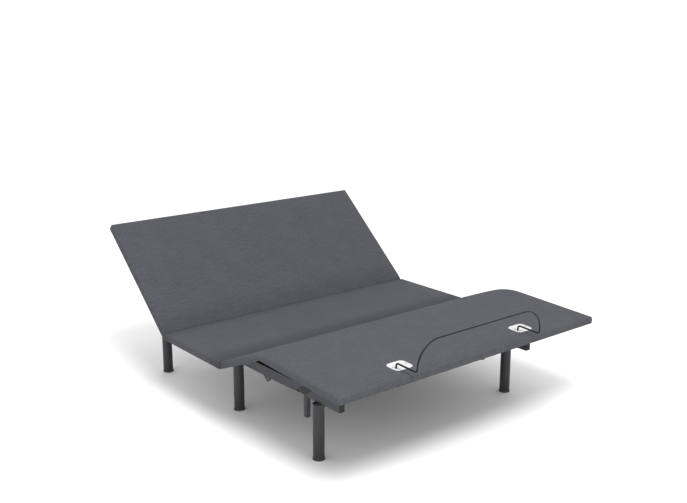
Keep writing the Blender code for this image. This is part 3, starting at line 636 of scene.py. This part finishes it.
class BASE_OT_head_cover(Operator):
    """Cover over the seat and head panels, tucked in at the head hinge"""

    bl_idname = "base.head_cover"
    bl_label = "Head half cover"

    def execute(self, context):
        look = context.scene.base_cover
        top = THICK - RISE
        back = top * tan(radians(HEAD_ANGLE / 2))
        seat_end = SEAT_LOW[1]
        low, high = SEAT_LOW[2], SEAT_HIGH[2]

        def seat(y, z):
            return Vector((0, y, z))

        def head(y, z):
            return HEAD_FRAME @ Vector((0, y, z))

        outline = [
            seat(seat_end, low),
            seat(seat_end, low + RISE),
            seat(seat_end + top * tan(FOLD_LEAN), high),
            seat(HEAD_SPOT.y - back - SEAM_DIP, high),
            seat(HEAD_SPOT.y - back, high - SEAM_DEPTH),
            head(back + SEAM_DIP, top),
            head(HEAD_RUN, top),
            head(HEAD_RUN, -RISE),
            head(COVER_GAP, -RISE),
            seat(HEAD_SPOT.y - COVER_GAP, low),
        ]
        flat, rounding = Matrix.Translation(HEAD_SPOT), (look.head_corner, look.head_roll)
        cover = Cover("head_cover", outline, flat, HEAD_FRAME, HEAD_SPOT, 1, *rounding)
        nodes, bodies = ("seat_pad", "head_pad"), ("head_chassis", "head_deck")
        finish_cover(cover, look, nodes, (seat_end, head(HEAD_RUN, top).y))
        return {"FINISHED"}


class BASE_OT_foot_cover(Operator):
    """Cover over the thigh and foot panels, drawn smoothly over the knee"""

    bl_idname = "base.foot_cover"
    bl_label = "Foot half cover"

    def execute(self, context):
        look = context.scene.base_cover
        top = THICK - RISE
        cut = top * tan(FOLD_LEAN)

        def thigh(y, z):
            return THIGH_FRAME @ Vector((0, y, z))

        def foot(y, z):
            return FOOT_FRAME @ Vector((0, y, z))

        half = radians(THIGH_ANGLE - FOOT_ANGLE) / 2
        turn = Matrix.Rotation(radians(FOOT_ANGLE) + half, 3, "X")
        peak = KNEE_SPOT + turn @ Vector((0, 0, FOOT_TOP / cos(half)))
        before, after = thigh(KNEE_IN_THIGH.y + look.knee, top), foot(-look.knee, FOOT_TOP)
        arch = [i / 10 for i in range(11)]
        over_knee = [before * (1 - t) ** 2 + peak * 2 * t * (1 - t) + after * t * t for t in arch]
        outline = [
            thigh(-COVER_GAP, -RISE),
            thigh(-COVER_GAP, 0),
            thigh(-cut, top),
            *over_knee,
            foot(-FOOT_RUN, FOOT_TOP),
            foot(-FOOT_RUN, KNEE_DROP),
            foot(-COVER_GAP, KNEE_DROP),
            thigh(KNEE_IN_THIGH.y + COVER_GAP, -RISE),
        ]
        rounding = look.foot_corner, look.foot_roll
        cover = Cover("foot_cover", outline, THIGH_FRAME, FOOT_FRAME, KNEE_SPOT, -1, *rounding)
        nodes, bodies = ("thigh_pad", "foot_pad"), ("thigh_deck", "foot_deck")
        ends = thigh(-cut, top).y, foot(-FOOT_RUN, FOOT_TOP).y
        finish_cover(cover, look, nodes, ends)
        return {"FINISHED"}


# Finishes for the carried-over pieces


def paint(nodes, material):
    for name in nodes:
        piece = frame["nodes"][name]
        if piece.material_slots:
            for slot in piece.material_slots:
                slot.material = material
        else:
            piece.data.materials.append(material)


class BASE_OT_finishes(Operator):
    """Powder coat, plastic, steel and board cloth on the frame's pieces"""

    bl_idname = "base.finishes"
    bl_label = "Finishes"

    def execute(self, context):
        metal = context.scene.base_metal
        names = set(frame["nodes"])
        boards = {n for n in names if n.endswith("_board")}
        legs = {n for n in names if n.startswith("leg_")}
        rods = {"head_drive_rod", "foot_drive_rod"}
        rollers = {n for n in names if "_roller_" in n}
        plates = {n for n in names if n.startswith("retainer_plate")}
        caps = {n for n in names if "cap" in n}
        black = {n for n in names if "pivot_block" in n or n.endswith("motor") or n == "control_box"}
        rest = names - boards - legs - rods - rollers - plates - caps - black - {"retainer_bar"}
        paint(boards, board_cloth("board_cloth"))
        paint(legs, leg_material())
        paint(rods, steel_material())
        paint(rollers, moulded("roller_nylon", (0.22, 0.22, 0.23), 0.40))
        paint(plates, white_material())
        paint(caps, cap_material())
        paint(black, black_material())
        paint(["retainer_bar"], powder_coat("bar_coat", metal.bar_colour, 0.34, 0.1))
        paint(rest, frame_material())
        return {"FINISHED"}


# Small fittings


def bolt_material():
    colour = bpy.context.scene.base_fittings.colour
    return get_material("black_oxide", lambda: powder_coat("black_oxide", colour, 0.36, 0.6))


def farthest(faces, axis):
    return max(faces, key=lambda f: f.calc_center_median().dot(axis))


def add_bolt(bm, spot, axis, radius, height):
    """Domed bolt head that stands on spot along axis, with a socket in its top."""
    axis = Vector(axis).normalized()
    turn = axis.to_track_quat("Z", "Y").to_matrix().to_4x4()
    place = Matrix.Translation(Vector(spot) + axis * height / 2) @ turn
    made = bmesh.ops.create_cone(
        bm, cap_ends=True, segments=24, radius1=radius, radius2=radius * 0.88, depth=height, matrix=place
    )
    top = farthest({f for v in made["verts"] for f in v.link_faces}, axis)
    rim = bevel(bm, list(top.edges), height * 0.3, 2)["faces"]
    top = farthest({f for r in rim for e in r.edges for f in e.link_faces}, axis)
    bmesh.ops.inset_region(bm, faces=[top], thickness=radius * 0.42, use_even_offset=True)
    push_face(bm, top, -axis * height * 0.5)


def bolt_piece(name, body, bolts, radius, height, material=None, slot="black_plastic"):
    """One piece of equal bolt heads, each a spot and the way it faces, on one body."""
    bm = bmesh.new()
    for spot, axis in bolts:
        add_bolt(bm, spot, axis, radius, height)
    piece = new_piece(name, bm, material or bolt_material(), 30.0)
    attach(piece, body)
    return piece


def middle(node):
    """A node's middle and its half extents."""
    low, high = (Vector(corner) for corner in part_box(node))
    return (low + high) / 2, (high - low) / 2


class BASE_OT_frame_bolts(Operator):
    """Bolt heads on the rails, fold plates and roller forks"""

    bl_idname = "base.frame_bolts"
    bl_label = "Frame bolts"

    def execute(self, context):
        look = context.scene.base_fittings
        size = look.bolt_radius, look.bolt_height
        fold = joint_spot("chassis_fold")
        for label, side in SIDES.items():
            leg, reach = middle(f"leg_foot_{label}")
            rail, rail_reach = middle(f"foot_rail_nose_{label}")
            under = Vector((rail.x, leg.y - 2 * reach.y, rail.z - rail_reach.z - LAY_ON))
            bolt_piece(f"nose_bolt_{label}", "foot_chassis", [(under, (0, 0, -1))], 0.0055, 0.005)
            outer = max(("head", "foot"), key=lambda half: middle(f"fold_plate_{half}_{label}")[0].x * side)
            plate, plate_reach = middle(f"fold_plate_{outer}_{label}")
            face = Vector((plate.x + side * (plate_reach.x + LAY_ON), fold.y, fold.z))
            bolt_piece(f"fold_bolt_{label}", f"{outer}_chassis", [(face, (side, 0, 0))], *size)
            for half in ("head", "foot"):
                arm, arm_reach = middle(f"{half}_lift_arm_{label}")
                roller = middle(f"{half}_roller_{label}")[0]
                inner = Vector((arm.x - side * (arm_reach.x + LAY_ON), roller.y, roller.z))
                clip = [(inner, (-side, 0, 0))]
                bolt_piece(f"{half}_axle_clip_{label}", f"{half}_lift", clip, 0.0065, 0.0022)
        return {"FINISHED"}


class BASE_OT_plate_screws(Operator):
    """Screws and a raised ring round the hook's hole on each retainer plate"""

    bl_idname = "base.plate_screws"
    bl_label = "Plate screws"

    def execute(self, context):
        radius = context.scene.base_plastic.screw_radius
        steel = powder_coat("screw_zinc", (0.30, 0.30, 0.31), 0.32, 0.9)
        bar, bar_reach = middle("retainer_bar")
        top = FOOT_TOP + PLATE_THICK
        for label, side in SIDES.items():
            plate, reach = middle(f"retainer_plate_{label}")
            local = FOOT_FRAME.inverted() @ plate
            away = reach.x - 0.013
            spots = [FOOT_FRAME @ Vector((local.x + s * away, local.y, top)) for s in (-1, 1)]
            bolts = [(spot, LIFT_AXIS) for spot in spots]
            bolt_piece(f"plate_screws_{label}", "foot_deck", bolts, radius, 0.0012, steel, "drive_rod")
            bm = bmesh.new()
            hook = bar.x + side * (bar_reach.x - BAR_RADIUS)
            spin_ring(bm, Vector((hook, local.y, top)), 0.0115, 0.0085, 0.0016)
            bmesh.ops.transform(bm, matrix=FOOT_FRAME, verts=bm.verts)
            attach(new_piece(f"hook_ring_{label}", bm, white_material(), 30.0), "foot_deck")
        return {"FINISHED"}


def spin_ring(bm, centre, outer, inner, height):
    """Flat ring with a rounded top edge, standing on centre."""
    inside = [(inner, 0), (inner, height * 0.7), (inner + 0.0004, height)]
    profile = inside + [(outer - 0.0008, height), (outer, 0)]
    verts = [bm.verts.new(centre + Vector((r, 0, z))) for r, z in profile]
    edges = [bm.edges.new(pair) for pair in zip(verts, verts[1:])]
    turn = {"cent": centre, "axis": (0, 0, 1), "angle": 2 * pi, "steps": 32, "use_merge": True}
    bmesh.ops.spin(bm, geom=verts + edges, **turn)
    bmesh.ops.remove_doubles(bm, verts=bm.verts, dist=1e-6)


def add_block(bm, place, size, rounding, segments):
    """Box of that size with rounded edges, at a matrix."""
    made = bmesh.ops.create_cube(bm, size=1.0, matrix=place @ Matrix.Diagonal((*size, 1)))
    bevel(bm, list({e for v in made["verts"] for e in v.link_edges}), rounding, segments)


class BASE_OT_staples(Operator):
    """Staples that hold the cover's folded border under each panel"""

    bl_idname = "base.staples"
    bl_label = "Staples"

    def execute(self, context):
        look = context.scene.base_fittings
        seat = Matrix.Translation(Vector((0, SEAT_LOW[1], SEAT_LOW[2] + RISE)))
        panels = {
            "seat": (seat, 0.0, SEAT_HIGH[1] - SEAT_LOW[1], -RISE, "head_chassis"),
            "head": (HEAD_FRAME, 0.0, HEAD_RUN, -RISE, "head_deck"),
            "thigh": (THIGH_FRAME, KNEE_IN_THIGH.y, 0.0, -RISE, "thigh_deck"),
            "foot": (FOOT_FRAME, -FOOT_RUN, 0.0, KNEE_DROP, "foot_deck"),
        }
        inset = context.scene.base_cover.border * 0.62
        for label, (place, near, far, under, body) in panels.items():
            bm = bmesh.new()
            xs = steps(-HALF_WIDTH, HALF_WIDTH, look.staple_pitch)
            ys = steps(near, far, look.staple_pitch)
            clear = [x for x in xs if not RAIL_ZONE[0] < abs(x) < RAIL_ZONE[1]]
            spots = [(x, y, 0.0) for x in clear for y in (near + inset, far - inset)]
            spots += [(x, y, pi / 2) for x in (-HALF_WIDTH + inset, HALF_WIDTH - inset) for y in ys]
            for x, y, turn in spots:
                spin = Matrix.Rotation(turn + 0.18 * noise.noise(Vector((9 * x, 9 * y, 1))), 4, "Z")
                spot = Matrix.Translation(Vector((x, y, under - 0.0001))) @ spin
                add_block(bm, spot, (look.staple, 0.0012, 0.0008), 0.0002, 1)
            bmesh.ops.transform(bm, matrix=place, verts=bm.verts)
            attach(new_piece(f"{label}_staples", bm, steel_material(), 30.0), body)
        return {"FINISHED"}


class BASE_OT_weld_beads(Operator):
    """Weld beads where the cross tubes meet the rails"""

    bl_idname = "base.weld_beads"
    bl_label = "Weld beads"

    def execute(self, context):
        bead = context.scene.base_fittings.bead
        for half, tubes in {"head": ("fold", "motor", "end"), "foot": ("fold", "motor")}.items():
            for tube in tubes:
                spot, reach = middle(f"{half}_{tube}_tube")
                bm = bmesh.new()
                for side in SIDES.values():
                    centre = spot + Vector((side * (reach.x - bead / 2 - 0.0004), 0, -bead * 0.2))
                    size = bead, 2 * reach.y + bead * 0.8, 2 * reach.z + bead * 0.4 - 0.0004
                    add_block(bm, Matrix.Translation(centre), size, bead * 0.35, 2)
                piece = new_piece(f"{half}_{tube}_welds", bm, frame_material(), 30.0)
                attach(piece, f"{half}_chassis")
        return {"FINISHED"}


class BASE_OT_box_details(Operator):
    """Screws under the control box"""

    bl_idname = "base.box_details"
    bl_label = "Box details"

    def execute(self, context):
        box, reach = middle("control_box")
        under = box - Vector((0, 0, reach.z + LAY_ON))
        across, along = reach.x - 0.014, reach.y - 0.014
        spots = [under + Vector((sx * across, sy * along, 0)) for sx in (-1, 1) for sy in (-1, 1)]
        bolt_piece("box_screws", "head_chassis", [(spot, (0, 0, -1)) for spot in spots], 0.0038, 0.0016)
        return {"FINISHED"}


# Stage


class BASE_OT_stage(Operator):
    """White floor, soft studio light and the camera"""

    bl_idname = "base.stage"
    bl_label = "Stage"

    def execute(self, context):
        stage = context.scene.base_stage
        n = Nodes("studio_floor")
        n.set(Base_Color=opaque(stage.floor), Roughness=1.0, Specular_IOR_Level=0.0)
        bm = bmesh.new()
        bmesh.ops.create_grid(bm, x_segments=1, y_segments=1, size=40.0)
        mesh = bpy.data.meshes.new("floor")
        bm.to_mesh(mesh)
        bm.free()
        mesh.materials.append(n.material)
        floor = bpy.data.objects.new("floor", mesh)
        context.collection.objects.link(floor)

        context.scene.view_settings.view_transform = "Standard"
        world = bpy.data.worlds.new("studio")
        context.scene.world = world
        world.use_nodes = True
        sky = world.node_tree.nodes["Background"]
        sky.inputs["Color"].default_value = opaque((1.0, 1.0, 1.0))
        sky.inputs["Strength"].default_value = stage.sky
        add_light("key_light", KEY_LIGHT, LIGHT_AIM, 2.0, 165.0)

        across, up = stage.azimuth, stage.elevation
        back = Vector((sin(across) * cos(up), -cos(across) * cos(up), sin(up)))
        lens = bpy.data.cameras.new("camera")
        lens.lens = stage.lens
        lens.sensor_width = 36.0
        lens.clip_end = 200.0
        camera = bpy.data.objects.new("camera", lens)
        camera.location = CAMERA_AIM + back * stage.distance
        camera.rotation_euler = back.to_track_quat("Z", "Y").to_euler()
        context.collection.objects.link(camera)
        context.scene.camera = camera
        return {"FINISHED"}


def add_light(name, spot, aim, size, power):
    data = bpy.data.lights.new(name, "AREA")
    data.shape = "DISK"
    data.size = size
    data.energy = power
    light = bpy.data.objects.new(name, data)
    light.location = spot
    light.rotation_euler = (spot - aim).to_track_quat("Z", "Y").to_euler()
    bpy.context.collection.objects.link(light)


class BASE_PT_looks(Panel):
    """Steps that dress the bed base"""

    bl_idname = "BASE_PT_looks"
    bl_label = "Bed base"
    bl_space_type = "VIEW_3D"
    bl_region_type = "UI"
    bl_category = "Bed base"

    def draw(self, context):
        for group in GROUPS:
            settings = getattr(context.scene, group)
            box = self.layout.box()
            for key in settings.bl_rna.properties.keys():
                if key not in {"rna_type", "name"}:
                    box.prop(settings, key)
        for step in STEPS:
            self.layout.operator(step.bl_idname)


GROUPS = {
    "base_cover": BaseCover,
    "base_metal": BaseMetal,
    "base_plastic": BasePlastic,
    "base_fittings": BaseFittings,
    "base_stage": BaseStage,
}
STEPS = (
    BASE_OT_stage,
    BASE_OT_head_cover,
    BASE_OT_foot_cover,
    BASE_OT_frame_bolts,
    BASE_OT_plate_screws,
    BASE_OT_staples,
    BASE_OT_weld_beads,
    BASE_OT_box_details,
    BASE_OT_finishes,
)


def register():
    for group, settings in GROUPS.items():
        bpy.utils.register_class(settings)
        setattr(bpy.types.Scene, group, PointerProperty(type=settings))
    for step in STEPS:
        bpy.utils.register_class(step)
    bpy.utils.register_class(BASE_PT_looks)


def unregister():
    bpy.utils.unregister_class(BASE_PT_looks)
    for step in reversed(STEPS):
        bpy.utils.unregister_class(step)
    for group, settings in reversed(list(GROUPS.items())):
        delattr(bpy.types.Scene, group)
        bpy.utils.unregister_class(settings)


def main():
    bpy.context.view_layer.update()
    register()
    for step in STEPS:
        group, call = step.bl_idname.split(".")
        getattr(getattr(bpy.ops, group), call)()


if __name__ == "__main__":
    main()
